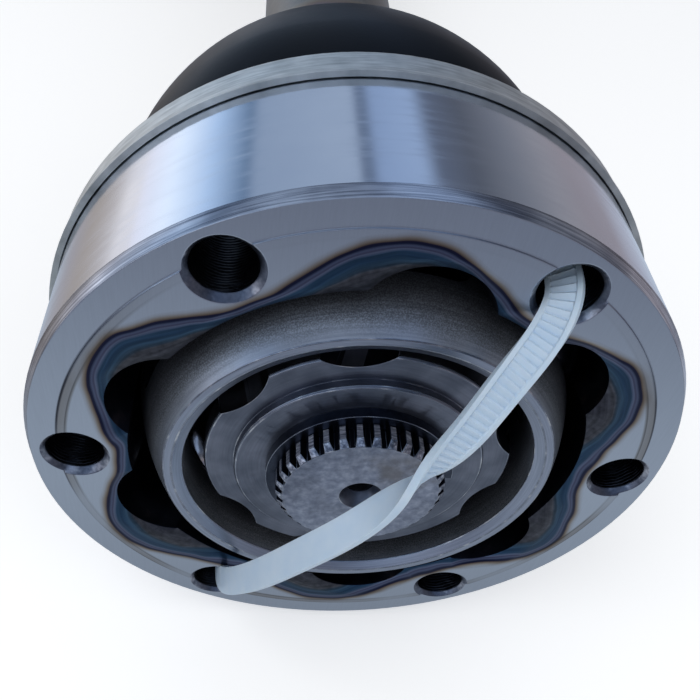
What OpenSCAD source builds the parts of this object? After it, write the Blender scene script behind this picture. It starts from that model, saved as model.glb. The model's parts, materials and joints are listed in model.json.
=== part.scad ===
// Drive shaft with a cross-groove ball joint, pressed cover and rubber boot at each end.
// Frame: the near bolt circle's centre is the origin, +Y runs along the shaft and +Z is up.
// Each joint is drawn along its own z, from its flange face at z = 0 towards the middle of the shaft.

/* [Overall] */
// Distance between the two flange faces
flange_span = 420; // [380:1:600]

/* [Outer ring] */
// Ground outside diameter of the ring
ring_d = 100; // [99:0.2:104]
// Width of the ring
ring_w = 32; // [31:0.2:34]
// Wall between the ring's outside and the bore that holds the cage
ring_wall = 14.8; // [14:0.1:16]
// Width of the slope round the bore and tracks on the flange face
mouth_w = 2.2; // [1:0.1:2.6]
// Depth of that slope
mouth_h = 0.9; // [0.5:0.1:1.4]
// Width and depth of the slope round the bore and tracks on the rear face
rear_mouth = 0.7; // [0.3:0.1:1]
// Radial width of the chamfer on the front corner
edge_w = 0.8; // [0.4:0.1:1.2]
// Length of that chamfer along the ring
edge_h = 1.7; // [0.8:0.1:2.4]
// Width of the chamfer on the rear corner
rear_edge = 0.8; // [0.4:0.1:1.2]
// Width of the rim that is stepped back from the flange face
step_w = 4.8; // [3:0.1:5.6]
// Depth of that step
step_h = 0.25; // [0.1:0.05:0.5]

/* [Flange bolts] */
// How far the bolt circle lies outside the middle of the ring's wall
bolt_offset = 0.4; // [0:0.1:0.8]
// Diameter of each bolt hole in the ring
bolt_hole_d = 8.5; // [6.6:0.1:8.8]
// Diameter of the countersink on the flange face
countersink_d = 10.4; // [9.6:0.1:11]
// Diameter of each bolt hole in the cover
cover_hole_d = 9; // [8.8:0.1:9.6]

/* [Balls and tracks] */
// Depth of the balls' middles inside the ring's bore
ball_sink = 4.7; // [4.5:0.05:4.9]
// Space between neighbouring balls
ball_space = 13.04; // [12.9:0.02:13.2]
// Slant of each track against the shaft
track_slant = 16; // [10:0.5:17]
// Play of a ball in its tracks, as a difference of radii
track_play = 0.3; // [0.2:0.05:0.4]

/* [Cage] */
// Gap between the cage's ball-shaped skin and the ring's bore
cage_gap = 0.3; // [0.2:0.05:0.6]
// Width of the cage
cage_w = 36.2; // [34:0.2:37]
// Wall of the cage at its middle
cage_wall = 7.9; // [7.6:0.1:8.1]
// Width of the slope inside each rim of the cage
cage_slope_w = 1.6; // [0.8:0.1:2]
// Depth of that slope
cage_slope_h = 1; // [0.6:0.1:2]
// Play of a ball across its window
window_play = 0.2; // [0.1:0.05:0.4]
// Room of a ball along its window, at each end
window_room = 2.7; // [2.4:0.1:2.8]
// Corner radius of a window
window_corner = 3; // [2:0.5:5]

/* [Inner race] */
// Gap between the race's crown and the cage's bore
race_gap = 0.4; // [0.3:0.05:0.8]
// Width of the race over its star-shaped part
race_w = 30.5; // [29:0.1:31]
// How far the race's shoulders lie outside the middle between hub groove and crown
shoulder_offset = 0.6; // [-0.4:0.1:1.1]
// Diameter of the raised hub on the race's front
hub_d = 38.8; // [38:0.1:39.4]
// Height of the hub over the race's front face
hub_rise = 1.5; // [0.5:0.1:2]
// Width of the groove round the hub
hub_groove_w = 0.8; // [0.4:0.1:1]
// Depth of the groove round the hub
hub_groove_h = 0.8; // [0.4:0.1:1.5]
// Diameter of the shallow dish in the hub's front
dish_top_d = 37; // [33:0.2:37.4]
// Diameter of the dish's flat bottom
dish_d = 29.8; // [29.6:0.1:31]
// Depth of the dish
dish_h = 0.55; // [0.3:0.05:1.5]

/* [Splines] */
// Diameter over the tooth tips
spline_d = 26; // [25.4:0.1:26.2]
// Height of a tooth
spline_h = 1.1; // [0.8:0.05:1.3]
// Gap between the stub's teeth and the race's
spline_gap = 0.08; // [0.05:0.01:0.12]
// Length of stub that stands out past the race's hub
stub_out = 4.75; // [4:0.05:8]
// Chamfer on the ends of the teeth
spline_edge = 1; // [0.4:0.1:1.1]
// Diameter of the centre hole
drill_d = 4; // [3:0.1:5]
// Depth of the centre hole
drill_h = 9; // [6:0.5:14]
// Diameter of the centre hole's countersink
drill_mouth_d = 6.6; // [5.6:0.1:8]
// Depth of that countersink
drill_mouth_h = 2.3; // [1:0.1:3]

/* [Circlip and washer] */
// Thickness of the circlip
circlip_t = 1.75; // [1.2:0.05:2]
// Outside diameter of the fitted circlip
circlip_d = 29; // [28:0.1:29.2]
// Depth of the circlip's groove below the tooth roots
circlip_groove_h = 0.3; // [0.2:0.05:0.6]
// Opening between the circlip's ends
circlip_opening = 3.6; // [2:0.1:5]
// Outside diameter of the dished washer
washer_d = 35; // [33:0.5:38]
// Thickness of the dished washer's sheet
washer_t = 1.4; // [1:0.1:1.6]
// Height to which the washer is dished
washer_h = 2.25; // [1.8:0.05:2.6]

/* [Stub and tube] */
// Diameter of the stub behind the joint
stub_d = 29; // [28.4:0.1:29.8]
// Diameter of the collar that carries the washer
collar_d = 30.4; // [30:0.1:32]
// Width of that collar
collar_w = 2.5; // [2:0.1:4]
// Distance from the flange face to the weld between stub and tube
weld_at = 120; // [118:1:140]
// Length of the stub's taper towards the tube
taper_l = 7; // [5:0.5:9]
// Outside diameter of the tube
tube_d = 36; // [34:0.5:40]
// Wall of the tube
tube_t = 4; // [2:0.5:6]
// Height of the weld's upset ring over the tube
upset_h = 0.9; // [0.5:0.1:1.5]
// Width of each half of the upset ring
upset_w = 2.2; // [1.5:0.1:3]

/* [Cover] */
// Thickness of the cover's sheet
sheet_t = 1; // [0.8:0.05:1.2]
// Gap between the lip and the ring
lip_gap = 0.15; // [0.1:0.05:0.3]
// Length of ring that the lip wraps
lip_l = 6.2; // [5:0.1:9]
// How far the lip flares at its front edge
lip_flare = 0.4; // [0.2:0.1:0.6]
// Length of that flare
lip_flare_l = 2; // [1:0.1:3]
// Outer radius of the bend between lip and flange
lip_bend = 1.8; // [1.2:0.1:2.4]
// How far the cover's collar lies outside the ring's bore
boot_collar_out = 0.6; // [0.3:0.1:0.9]
// Height of the cover's collar over the ring
boot_collar_h = 10; // [9:0.5:11]
// Radius of the bend between flange and collar
collar_bend = 1; // [0.6:0.1:1.5]
// How far the collar's end is rolled inwards
collar_roll = 1.2; // [0.8:0.1:1.6]

/* [Boot] */
// Wall of the boot
boot_t = 2.5; // [2:0.1:2.8]
// Gap between the boot and the metal round it
boot_gap = 0.3; // [0.2:0.05:0.5]
// Largest diameter of the boot
crown_d = 88; // [84:0.5:92]
// Distance from the flange face to the boot's largest diameter
crown_at = 57; // [54:0.5:62]
// Distance from the flange face to the boot's shoulder end
shoulder_at = 94; // [88:0.5:97]
// Radius of the fillet between shoulder and neck
neck_fillet = 4; // [3:0.5:5]
// Fullness of the shoulder's curve
shoulder_power = 1.65; // [1.5:0.05:2]
// Distance from the flange face to the end of the boot's neck
neck_end = 110.5; // [109:0.5:112]
// Height of the two beads beside the clamp
bead_h = 0.9; // [0.5:0.1:1.2]
// Width of each of these beads at its foot
bead_w = 1.1; // [0.8:0.1:1.4]
// Width of each of these beads at its top
bead_top_w = 0.8; // [0.4:0.1:1.2]

/* [Boot clamp] */
// Width of the clamp's band
clamp_w = 8; // [6:0.5:8.5]
// Thickness of the band
clamp_t = 0.8; // [0.6:0.1:1]
// Gap between the band and the boot's neck
clamp_gap = 0.2; // [0.1:0.05:0.3]
// Width of the clamp's pinched ear
ear_w = 7; // [5:0.5:9]
// Width of the ear at its top
ear_top_w = 5; // [3:0.1:7]
// Height of the ear over the band
ear_h = 2.6; // [2:0.1:4]

/* [Hidden] */

$fn = 96;
over = 1;                                  // how far a cutter runs past what it cuts
bolt_count = 6;
ball_count = 6;
tooth_count = 33;
foot_share = 0.32;                         // half a tooth's width at its foot, in pitches
tip_share = 0.2;                           // and at its tip
centre = ring_w / 2;                       // the joint turns about this point of its axis
ring_r = ring_d / 2;
bore_r = ring_r - ring_wall;
bolt_circle_r = (ring_r + bore_r) / 2 + bolt_offset;
ball_circle_r = bore_r - ball_sink;
ball_d = 2 * ball_circle_r * sin(180 / ball_count) - ball_space;
ball_r = ball_d / 2;
track_r = ball_r + track_play;
cage_r = bore_r - cage_gap;
cage_bore_r = cage_r - cage_wall;
race_r = cage_bore_r - race_gap;
race_front = centre - race_w / 2;
race_rear = centre + race_w / 2;
hub_front = race_front - hub_rise;
hub_r = hub_d / 2;
shoulder_r = (hub_r + hub_groove_w + race_r) / 2 + shoulder_offset;
dish_floor = hub_front + dish_h;
spline_r = spline_d / 2;
root_r = spline_r - spline_h;
stub_front = hub_front - stub_out;
shoulder = race_rear + washer_h;           // the washer is held between the race and this step
stub_r = stub_d / 2;
tube_r = tube_d / 2;
circlip_groove_r = root_r - circlip_groove_h;
circlip_turn = 5;                          // angle at which the circlip is open
circlip_side_gap = 0.05;                   // on each side of the circlip
circlip_seat_gap = 0.15;                   // between the circlip and its groove's floor
washer_bore_gap = 0.2;
lip_r = ring_r + lip_gap;
boot_collar_r = bore_r + boot_collar_out;
collar_top = ring_w + boot_collar_h;
roll_r = boot_collar_r - sheet_t - collar_roll;
boot_base_r = roll_r - boot_gap;
boot_bead_r = boot_collar_r - sheet_t - boot_gap;
boot_foot = ring_w + sheet_t + 2 * boot_gap;
boot_foot_t = 1.4;                         // the boot's wall thins here, to clear the cage
boot_start = collar_top + boot_gap;
boot_neck_r = stub_r + boot_gap + boot_t;
clamp_r = boot_neck_r + clamp_gap;
neck_start = shoulder_at + neck_fillet;
clamp_at = (neck_start + neck_end - clamp_w) / 2;

function slant(i) = i % 2 == 1 ? track_slant : -track_slant;
function ball_angle(i) = 30 + 360 / ball_count * (i - 1);

// Points on an arc about c, from angle a to angle b
function arc(c, r, a, b, steps) =
    [for (k = [0 : steps]) let (t = a + (b - a) * k / steps) c + r * [cos(t), sin(t)]];

// An outline moved sideways by t, to its left
function beside(pts, t) = [for (k = [0 : len(pts) - 1])
    let (d = pts[min(k + 1, len(pts) - 1)] - pts[max(k - 1, 0)])
    pts[k] + t * [-d[1], d[0]] / norm(d)];

module near_end() {
    rotate([-90, 0, 0]) children();
}

module far_end() {
    translate([0, flange_span, 0]) mirror([0, 1, 0]) near_end() children();
}

module round_bolts() {
    for (k = [0 : bolt_count - 1]) rotate([0, 0, 360 / bolt_count * k])
        translate([bolt_circle_r, 0, 0]) children();
}

// Straight cutter of a slanted track; the ring's and the race's cross at the ball
module track(i, turn) {
    rotate([0, 0, ball_angle(i)]) translate([ball_circle_r, 0, centre]) rotate([turn, 0, 0])
        cylinder(r = track_r, h = 3 * ring_w, center = true);
}

// Cone that slopes the mouth of a hole of radius r in the face z = 0
module mouth(r, w, h) {
    past = w * over / h;
    translate([0, 0, -over]) cylinder(r1 = r + w + past, r2 = r - past, h = h + 2 * over);
}

// Slopes round the bore and round the six tracks, on the face z = 0
module ring_mouths(w, h, way) {
    mouth(bore_r, w, h);
    for (i = [1 : ball_count]) rotate([0, 0, ball_angle(i)])
        translate([ball_circle_r, way * (centre - h / 2) * tan(slant(i)), 0]) mouth(track_r, w, h);
}

module outer_ring() {
    sink = (countersink_d - bolt_hole_d) / 2;
    color("slategray") difference() {
        rotate_extrude() polygon([
            [bore_r, 0], [ring_r - step_w, 0], [ring_r - step_w, step_h],
            [ring_r - edge_w, step_h], [ring_r, step_h + edge_h],
            [ring_r, ring_w - rear_edge], [ring_r - rear_edge, ring_w], [bore_r, ring_w]
        ]);
        ring_mouths(mouth_w, mouth_h, 1);
        translate([0, 0, ring_w]) mirror([0, 0, 1]) ring_mouths(rear_mouth, rear_mouth, -1);
        for (i = [1 : ball_count]) track(i, slant(i));
        round_bolts() {
            translate([0, 0, -over]) cylinder(d = bolt_hole_d, h = ring_w + 2 * over);
            mouth(bolt_hole_d / 2, sink, sink);
        }
    }
}

// Ball-shaped cage with a straight bore and a window for each ball
module cage() {
    color("dimgray") translate([0, 0, centre]) difference() {
        intersection() {
            sphere(r = cage_r);
            cylinder(r = cage_r + over, h = cage_w, center = true);
        }
        cylinder(r = cage_bore_r, h = cage_w + 2 * over, center = true);
        for (side = [0, 1]) mirror([0, 0, side])
            translate([0, 0, -cage_w / 2]) mouth(cage_bore_r, cage_slope_w, cage_slope_h);
        for (i = [1 : ball_count]) rotate([0, 0, ball_angle(i)]) rotate([0, 90, 0])
            linear_extrude(cage_r + over) window();
    }
}

module window() {
    across = ball_d + window_play;
    along = ball_d + 2 * window_room;
    c = window_corner;
    square([across, along - 2 * c], center = true);
    square([across - 2 * c, along], center = true);
    for (x = [-1, 1], y = [-1, 1]) translate([x * (across / 2 - c), y * (along / 2 - c)])
        circle(r = c, $fn = 32);
}

module ball(i) {
    color("silver") rotate([0, 0, ball_angle(i)]) translate([ball_circle_r, 0, centre])
        sphere(r = ball_r);
}

// Outline of the splines: straight-sided teeth, grown by a gap for the bore
module splines(gap) {
    pitch = 360 / tooth_count;
    wider = gap / spline_r * 180 / PI;
    tooth = [
        [root_r + gap, -foot_share * pitch - wider], [spline_r + gap, -tip_share * pitch - wider],
        [spline_r + gap, tip_share * pitch + wider], [root_r + gap, foot_share * pitch + wider]
    ];
    polygon([for (k = [0 : tooth_count - 1], p = tooth)
        p[0] * [cos(k * pitch + p[1]), sin(k * pitch + p[1])]]);
}

// Star-shaped race: crown, straight shoulders, and a hub with a dish round the circlip
module race() {
    bevel = 0.3;
    dish_past = (dish_top_d - dish_d) * over / dish_h;
    color("gray") difference() {
        union() {
            translate([0, 0, centre]) intersection() {
                sphere(r = race_r);
                cylinder(r = race_r + over, h = race_w, center = true);
            }
            rotate_extrude() polygon([
                [0, hub_front], [hub_r - bevel, hub_front], [hub_r, hub_front + bevel],
                [hub_r, race_front + hub_groove_h], [hub_r + hub_groove_w, race_front + hub_groove_h],
                [hub_r + hub_groove_w, race_front], [shoulder_r - bevel, race_front],
                [shoulder_r, race_front + bevel], [shoulder_r, race_rear - bevel],
                [shoulder_r - bevel, race_rear], [0, race_rear]
            ]);
        }
        for (i = [1 : ball_count]) track(i, -slant(i));
        translate([0, 0, hub_front - over])
            cylinder(d1 = dish_top_d + dish_past, d2 = dish_d, h = dish_h + over);
        translate([0, 0, hub_front - over])
            linear_extrude(race_rear - hub_front + 2 * over) splines(spline_gap);
    }
}

module circlip() {
    top = dish_floor - circlip_side_gap;
    color("dimgray") translate([0, 0, top - circlip_t]) difference() {
        cylinder(d = circlip_d, h = circlip_t);
        translate([0, 0, -over])
            cylinder(r = circlip_groove_r + circlip_seat_gap, h = circlip_t + 2 * over);
        rotate([0, 0, circlip_turn]) translate([0, -circlip_opening / 2, -over])
            cube([circlip_d, circlip_opening, circlip_t + 2 * over]);
    }
}

// Spring washer, dished, between the race and the stub's collar
module washer() {
    inner = spline_r + washer_bore_gap;
    outer = washer_d / 2;
    color("darkgray") translate([0, 0, race_rear]) rotate_extrude() polygon([
        [outer - washer_t / 2, 0], [outer, washer_t / 3], [outer, washer_t],
        [inner, washer_h], [inner, washer_h - washer_t]
    ]);
}

// Half of the ring of metal that the weld pushes out, up to z = 0
module upset() {
    root = tube_r - tube_t / 2;
    curl = 150;                            // it curls over, and meets the other half in a groove
    translate([0, 0, -upset_w]) rotate_extrude() polygon(concat(
        [[root, 0]],
        [for (a = [0 : 15 : curl])
            [tube_r + upset_h * sin(a), upset_w * (1 - cos(a)) / (1 - cos(curl))]],
        [[root, upset_w]]
    ));
}

// Splined end, collar and shank, up to the weld with the tube
module stub() {
    clip_start = dish_floor - circlip_t - 2 * circlip_side_gap;
    bevel = 0.4;
    color("gray") difference() {
        union() {
            intersection() {
                translate([0, 0, stub_front]) linear_extrude(shoulder + bevel - stub_front) splines(0);
                rotate_extrude() polygon([
                    [0, stub_front], [spline_r - spline_edge, stub_front],
                    [spline_r, stub_front + spline_edge], [spline_r, clip_start],
                    [circlip_groove_r, clip_start], [circlip_groove_r, dish_floor],
                    [spline_r, dish_floor], [spline_r, shoulder + bevel], [0, shoulder + bevel]
                ]);
            }
            rotate_extrude() polygon([
                [0, shoulder], [collar_d / 2 - bevel, shoulder], [collar_d / 2, shoulder + bevel],
                [collar_d / 2, shoulder + collar_w - bevel], [stub_r, shoulder + collar_w],
                [stub_r, weld_at - taper_l], [tube_r, weld_at - upset_w], [tube_r, weld_at], [0, weld_at]
            ]);
            translate([0, 0, weld_at]) upset();
        }
        translate([0, 0, stub_front - over]) cylinder(d = drill_d, h = drill_h + over);
        translate([0, 0, stub_front]) mouth(drill_d / 2, (drill_mouth_d - drill_d) / 2, drill_mouth_h);
    }
}

// Tube with half of a weld ring on each end
module tube() {
    color("gray") near_end() difference() {
        union() {
            translate([0, 0, weld_at]) cylinder(r = tube_r, h = flange_span - 2 * weld_at);
            translate([0, 0, weld_at]) mirror([0, 0, 1]) upset();
            translate([0, 0, flange_span - weld_at]) upset();
        }
        translate([0, 0, weld_at - over])
            cylinder(r = tube_r - tube_t, h = flange_span - 2 * weld_at + 2 * over);
    }
}

// Pressed cover: a flared lip over the ring, a flange under the bolts, a collar round the boot
module cover() {
    t = sheet_t;
    front = ring_w - lip_l;
    flange = ring_w + t;
    color("lightsteelblue") difference() {
        rotate_extrude() polygon(concat(
            [[lip_r, front + lip_flare_l], [lip_r + lip_flare, front], [lip_r + lip_flare + t, front],
             [lip_r + t, front + lip_flare_l]],
            arc([lip_r + t - lip_bend, flange - lip_bend], lip_bend, 0, 90, 6),
            arc([boot_collar_r + collar_bend, flange + collar_bend], collar_bend, -90, -180, 5),
            arc([boot_collar_r - t, collar_top - t], t, 0, 90, 5),
            [[roll_r, collar_top], [roll_r, collar_top - t], [boot_collar_r - t, collar_top - t],
             [boot_collar_r - t, ring_w], [lip_r, ring_w]]
        ));
        round_bolts() translate([0, 0, ring_w - over]) cylinder(d = cover_hole_d, h = t + 2 * over);
    }
}

// The boot's skin from the collar over its crown and down the shoulder to the neck
function boot_skin() =
    let (rise = crown_at - boot_start, swell = crown_d / 2 - boot_base_r,
         end_r = boot_neck_r + neck_fillet, fall = crown_d / 2 - end_r, steps = 10)
    concat(
        [for (k = [0 : steps]) let (a = 90 * k / steps)
            [boot_base_r + swell * sin(a), crown_at - rise * cos(a)]],
        [for (k = [1 : 2 * steps]) let (a = 90 * k / (2 * steps))
            [end_r + fall * pow(cos(a), 2 / shoulder_power),
             crown_at + (shoulder_at - crown_at) * pow(sin(a), 2 / shoulder_power)]],
        [for (k = [1 : 5]) let (a = -90 - 18 * k)
            [end_r, neck_start] + neck_fillet * [cos(a), sin(a)]]
    );

module boot() {
    skin = boot_skin();
    lining = beside(skin, boot_t);
    bore = boot_neck_r - boot_t;
    low = clamp_at - clamp_gap;
    high = clamp_at + clamp_w + clamp_gap;
    color("#20242b") rotate_extrude() polygon(concat(
        [[boot_bead_r - boot_foot_t, boot_foot], [boot_bead_r, boot_foot],
         [boot_bead_r, collar_top - sheet_t - boot_gap], [boot_base_r, collar_top - sheet_t - boot_gap]],
        skin,
        [[boot_neck_r, low - bead_w], [boot_neck_r + bead_h, low - bead_top_w],
         [boot_neck_r + bead_h, low], [boot_neck_r, low], [boot_neck_r, high],
         [boot_neck_r + bead_h, high], [boot_neck_r + bead_h, high + bead_top_w],
         [boot_neck_r, high + bead_w], [boot_neck_r, neck_end], [bore, neck_end]],
        [for (k = [len(lining) - 1 : -1 : 0]) lining[k]],
        [[boot_base_r - boot_t, boot_start], [boot_base_r - boot_t, collar_top - 2 * sheet_t]]
    ));
}

// Band clamp in the groove of the boot's neck, with a pinched ear
module clamp() {
    foot = ear_w / 2;
    head = ear_top_w / 2;
    color("silver") translate([0, 0, clamp_at]) difference() {
        union() {
            cylinder(r = clamp_r + clamp_t, h = clamp_w);
            linear_extrude(clamp_w) polygon([
                [-foot, clamp_r - clamp_t / 2], [-head, clamp_r + clamp_t + ear_h],
                [head, clamp_r + clamp_t + ear_h], [foot, clamp_r - clamp_t / 2]
            ]);
        }
        translate([0, 0, -over]) cylinder(r = clamp_r, h = clamp_w + 2 * over);
        translate([0, 0, -over]) linear_extrude(clamp_w + 2 * over) polygon([
            [clamp_t - foot, clamp_r - over], [clamp_t - head, clamp_r + ear_h],
            [head - clamp_t, clamp_r + ear_h], [foot - clamp_t, clamp_r - over]
        ]);
    }
}

near_end() outer_ring();  // near_outer_ring
near_end() cover();  // near_cover
near_end() boot();  // near_boot
near_end() cage();  // near_cage
near_end() race();  // near_race
near_end() circlip();  // near_circlip
near_end() washer();  // near_washer
near_end() stub();  // near_stub
near_end() clamp();  // near_clamp
near_end() ball(1);  // near_ball_1
near_end() ball(2);  // near_ball_2
near_end() ball(3);  // near_ball_3
near_end() ball(4);  // near_ball_4
near_end() ball(5);  // near_ball_5
near_end() ball(6);  // near_ball_6
tube();  // shaft_tube
far_end() outer_ring();  // far_outer_ring
far_end() cover();  // far_cover
far_end() boot();  // far_boot
far_end() cage();  // far_cage
far_end() race();  // far_race
far_end() circlip();  // far_circlip
far_end() washer();  // far_washer
far_end() stub();  // far_stub
far_end() clamp();  // far_clamp
far_end() ball(1);  // far_ball_1
far_end() ball(2);  // far_ball_2
far_end() ball(3);  // far_ball_3
far_end() ball(4);  // far_ball_4
far_end() ball(5);  // far_ball_5
far_end() ball(6);  // far_ball_6
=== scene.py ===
"""Looks of a drive shaft: a tube with a cross-groove ball joint, pressed cover and boot at each end, and
a nylon tie laid through the near joint. The shaft lies along Y, and the near flange face is at Y = 0.
Lengths are in mm, and MM turns them into metres."""

import json
import math

import bpy
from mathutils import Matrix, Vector

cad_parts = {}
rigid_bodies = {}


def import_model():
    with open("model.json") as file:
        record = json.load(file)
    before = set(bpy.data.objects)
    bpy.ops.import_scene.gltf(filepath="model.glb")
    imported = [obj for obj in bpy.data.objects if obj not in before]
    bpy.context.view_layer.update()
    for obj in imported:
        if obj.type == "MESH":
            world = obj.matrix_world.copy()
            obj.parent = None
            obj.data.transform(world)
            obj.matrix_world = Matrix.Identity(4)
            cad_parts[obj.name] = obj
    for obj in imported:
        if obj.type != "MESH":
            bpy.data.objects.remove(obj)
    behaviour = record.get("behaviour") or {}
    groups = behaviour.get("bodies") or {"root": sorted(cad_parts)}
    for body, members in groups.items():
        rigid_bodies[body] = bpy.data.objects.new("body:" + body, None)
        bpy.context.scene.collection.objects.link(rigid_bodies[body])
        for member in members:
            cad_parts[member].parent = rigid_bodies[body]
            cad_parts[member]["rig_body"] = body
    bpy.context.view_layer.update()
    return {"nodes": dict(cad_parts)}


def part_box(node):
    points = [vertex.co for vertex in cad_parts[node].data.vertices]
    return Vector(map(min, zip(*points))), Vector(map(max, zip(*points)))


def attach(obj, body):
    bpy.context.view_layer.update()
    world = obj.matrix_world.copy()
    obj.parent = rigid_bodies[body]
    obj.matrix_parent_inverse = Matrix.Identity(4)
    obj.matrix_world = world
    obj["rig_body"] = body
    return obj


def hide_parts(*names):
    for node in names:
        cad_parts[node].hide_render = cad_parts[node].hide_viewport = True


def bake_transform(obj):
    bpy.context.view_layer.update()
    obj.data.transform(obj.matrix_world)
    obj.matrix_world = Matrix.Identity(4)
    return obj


for leftover in list(bpy.data.objects):
    bpy.data.objects.remove(leftover)
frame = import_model()

MM = 0.001
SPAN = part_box("far_outer_ring")[1].y / MM       # from flange face to flange face
HALF = SPAN / 2
FLOOR_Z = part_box("near_cover")[0].z             # the shaft lies on its covers' lips
FLOOR_W = 4                                     # metres

# The camera, at the photograph's angle
CAMERA_AT = (-18.35, -73.83, 98.2)
CAMERA_TURN = (41.54, -7.65, -2.68)             # degrees
CAMERA_LENS = 40.73
CAMERA_SHIFT = (0.0029, 0.0754)

# Outer ring
RING_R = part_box("near_outer_ring")[1].x / MM
RING_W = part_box("near_outer_ring")[1].y / MM
STEP_R = 45.2                                   # corner of the stepped rim
LIP_L, LIP_GAP, LIP_FLARE = 6.2, 0.15, 0.4      # the cover's lip over the ring
BOLT_CIRCLE_R = 43
BOLT_COUNT = 6
BOLT_HOLE_R = 4.25
CHAMFER = 1.2                                   # of the ring's outer edge and its bolt holes
TINT_R, TINT_WAVE = 40.3, 3.35                  # the heat tint's outline, and its bulge at each track
TINT_IN, TINT_OUT = -5.0, 1.5                   # reach of its colours inside and outside the violet line

# Race and stub
HUB_R = 19.4
SPLINE_R = 13
SPLINE_END = 34                                 # depth from which the stub takes the tube's finish
CENTRE_HOLE_R = 4.6

# Bar
WELD_AT = 120.0                                 # depth of the weld
WELD_TINT = 14.0                                # reach of the weld's colours to each side

# Boot
BOOT_T = 2.5
BOOT_FOOT_T = 1.4
BOOT_FOOT_AT = 33.6
BOOT_BEAD_R = 34.5
BOOT_BEAD_TOP = 40.7
BOOT_BEAD_SLOPE = 0.7
BOOT_BASE_R = 33.3
BOOT_BASE_AT = 42.3
CROWN_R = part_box("near_boot")[1].x / MM
CROWN_AT = 57
SHOULDER_AT = 94
SHOULDER_POWER = 1.65
NECK_R = 17.3
NECK_FILLET = 4
NECK_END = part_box("near_boot")[1].y / MM
CLAMP_FROM, CLAMP_TO = 100.05, 108.45           # the groove between the neck's two beads
BEAD_H, BEAD_W, BEAD_TOP_W = 0.9, 1.1, 0.8

# Nylon tie
TIE_W, TIE_T = 4.8, 1.2
TIE_RIM, RIM_SLOPE = 0.65, 0.2                  # plain rim on each side of the ribs
RIB_PITCH, RIB_H, DIP_AT = 1.1, 0.4, 0.7        # the dip after a rib is deepest at this share of the pitch
TIE_ANGLE = 60                                  # of the bolt hole through which it leaves
COLLAR_R = 35.8                                 # of the cover's collar, which it goes half round
COLLAR_TIE_AT = 38.6
COLLAR_GAP = 0.25
TIE_TILT = -90                                  # degrees, of its smooth side at the head
TIE_TURNS = ((16.5, 0), (19.4, -118),           # point of the route, and degrees turned over there
             (21.5, -130), (24, -180))

# Finishes of a piece, in the order in which it gets them
GROUND, TURNED, TINTED, SHADED_GREASED, DRILLED, SUNK = range(6)    # outer ring
SKIN, RIM = range(2)                                         # cage
FACE, TRACK = range(2)                                       # race
SAWN, TUBE, CUT, TOOTH, GAP, HOLE = range(6)                 # stub

WHITE = (1, 1, 1, 1)


def linear(code):
    """Linear RGBA of an sRGB hex colour."""
    parts = [int(code[k:k + 2], 16) / 255 for k in (1, 3, 5)]
    return [c / 12.92 if c <= 0.04045 else ((c + 0.055) / 1.055) ** 2.4 for c in parts] + [1]


def add(tree, kind, links=None, stops=None, **settings):
    """Adds a node. Links give a socket a number, another socket or a node's first output, and stops fill a
    ramp."""
    node = tree.nodes.new("ShaderNode" + kind)
    for key, value in settings.items():
        setattr(node, key, value)
    if stops:
        elements = node.color_ramp.elements
        elements.remove(elements[1])
        elements[0].position, elements[0].color = stops[0][0], linear(stops[0][1])
        for place, colour in stops[1:]:
            elements.new(place).color = linear(colour)
    for socket, value in (links or {}).items():
        if isinstance(value, bpy.types.Node):
            value = value.outputs[0]
        if isinstance(value, bpy.types.NodeSocket):
            tree.links.new(value, node.inputs[socket])
        else:
            node.inputs[socket].default_value = value
    return node


def start(name):
    """A new material and its empty node tree."""
    material = bpy.data.materials.new(name)
    material.use_nodes = True
    material.node_tree.nodes.clear()
    return material, material.node_tree


def close(tree, sockets, height=None, relief=0.0):
    """Ends a material: the shader with its sockets, over a bump whose relief is in mm."""
    if height is not None:
        sockets["Normal"] = add(tree, "Bump", {"Height": height, "Distance": relief * MM})
    add(tree, "OutputMaterial", {"Surface": add(tree, "BsdfPrincipled", sockets)})


def in_mm(tree):
    """The place on a piece, in mm."""
    place = add(tree, "TexCoord").outputs["Object"]
    return add(tree, "VectorMath", {0: place, "Scale": 1 / MM}, operation="SCALE")


def from_axis(tree, mm):
    """The way out from the shaft's axis, and the distance from it."""
    flat = add(tree, "VectorMath", {0: mm, 1: (1, 0, 1)}, operation="MULTIPLY")
    out = add(tree, "VectorMath", {0: flat}, operation="NORMALIZE")
    return out, add(tree, "VectorMath", {0: flat}, operation="LENGTH").outputs["Value"]


def behind_face(tree, mm):
    """The depth behind the nearer flange face."""
    along = add(tree, "SeparateXYZ", {0: mm}).outputs["Y"]
    from_middle = add(tree, "Math", {0: add(tree, "Math", {0: along, 1: HALF}, operation="SUBTRACT")},
                      operation="ABSOLUTE")
    return add(tree, "Math", {0: HALF, 1: from_middle}, operation="SUBTRACT")


def tool_lines(tree, mm, pitch, drift=2.5, on_face=False):
    """Marks that run round the shaft, as a lathe or grinder leaves them on a wall or a flat face. They
    change every pitch mm across, and slowly along."""
    out, radius = from_axis(tree, mm)
    across = radius if on_face else behind_face(tree, mm)
    count = add(tree, "Math", {0: across, 1: 1 / pitch}, operation="MULTIPLY")
    lines = add(tree, "CombineXYZ", {"Y": count})
    slow = add(tree, "VectorMath", {0: out, "Scale": drift}, operation="SCALE")
    spot = add(tree, "VectorMath", {0: slow, 1: lines}, operation="ADD")
    return add(tree, "TexNoise", {"Vector": spot, "Scale": 1, "Detail": 4})


def mottle(tree, mm, grain, detail=3.0):
    """Soft irregular patches about grain mm across."""
    return add(tree, "TexNoise", {"Vector": mm, "Scale": 1 / grain, "Detail": detail})


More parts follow.
